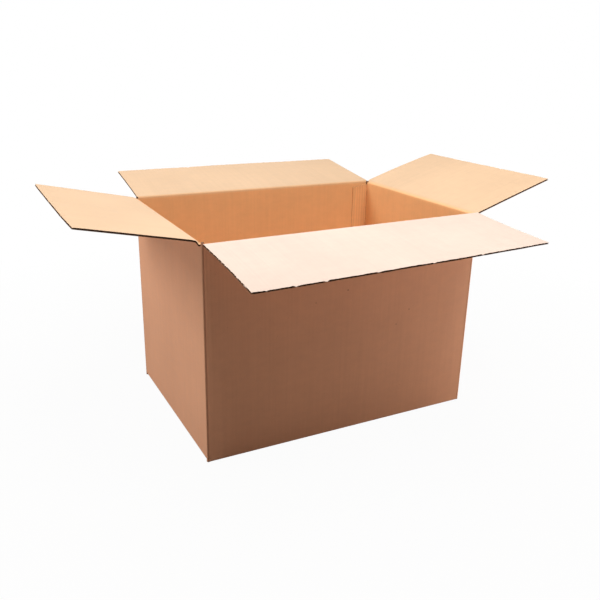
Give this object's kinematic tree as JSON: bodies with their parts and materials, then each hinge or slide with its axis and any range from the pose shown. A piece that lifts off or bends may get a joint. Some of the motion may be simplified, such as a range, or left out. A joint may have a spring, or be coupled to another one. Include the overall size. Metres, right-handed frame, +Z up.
{
  "type": "open cardboard box",
  "caption": "Plain kraft corrugated shipping box, open at the top, with hinged flaps folded out and a glued base.",
  "frame": {"origin": "centre of the base, on the surface that the box stands on", "axes": "+Z up, +X along the length of the box, -Y towards the front wall"},
  "size_m": [0.8641, 0.7152, 0.4193],
  "materials": {
    "kraft_board": "uncoated kraft linerboard",
    "kraft_flap": "uncoated kraft linerboard, cut edges show open flutes",
    "hot_melt": "flattened hot-melt glue"
  },
  "bodies": {
    "box": {"carton": "kraft_board", "base_glue": "hot_melt"},
    "flap_front": {"front_flap": "kraft_flap"},
    "flap_back": {"back_flap": "kraft_flap"},
    "flap_left": {"left_flap": "kraft_flap"},
    "flap_right": {"right_flap": "kraft_flap"}
  },
  "joints": [
    {"name": "front_fold", "type": "hinge", "parent": "box", "child": "flap_front", "pos_m": [0, -0.1795, 0.3673], "axis": [1, 0, 0], "range_deg": [-185, 40]},
    {"name": "back_fold", "type": "hinge", "parent": "box", "child": "flap_back", "pos_m": [0, 0.1795, 0.3673], "axis": [-1, 0, 0], "range_deg": [-173, 52]},
    {"name": "left_fold", "type": "hinge", "parent": "box", "child": "flap_left", "pos_m": [-0.2555, 0, 0.3639], "axis": [0, -1, 0], "range_deg": [-167.5, 57.5]},
    {"name": "right_fold", "type": "hinge", "parent": "box", "child": "flap_right", "pos_m": [0.2555, 0, 0.3639], "axis": [0, 1, 0], "range_deg": [-162.8, 62.2]}
  ]
}
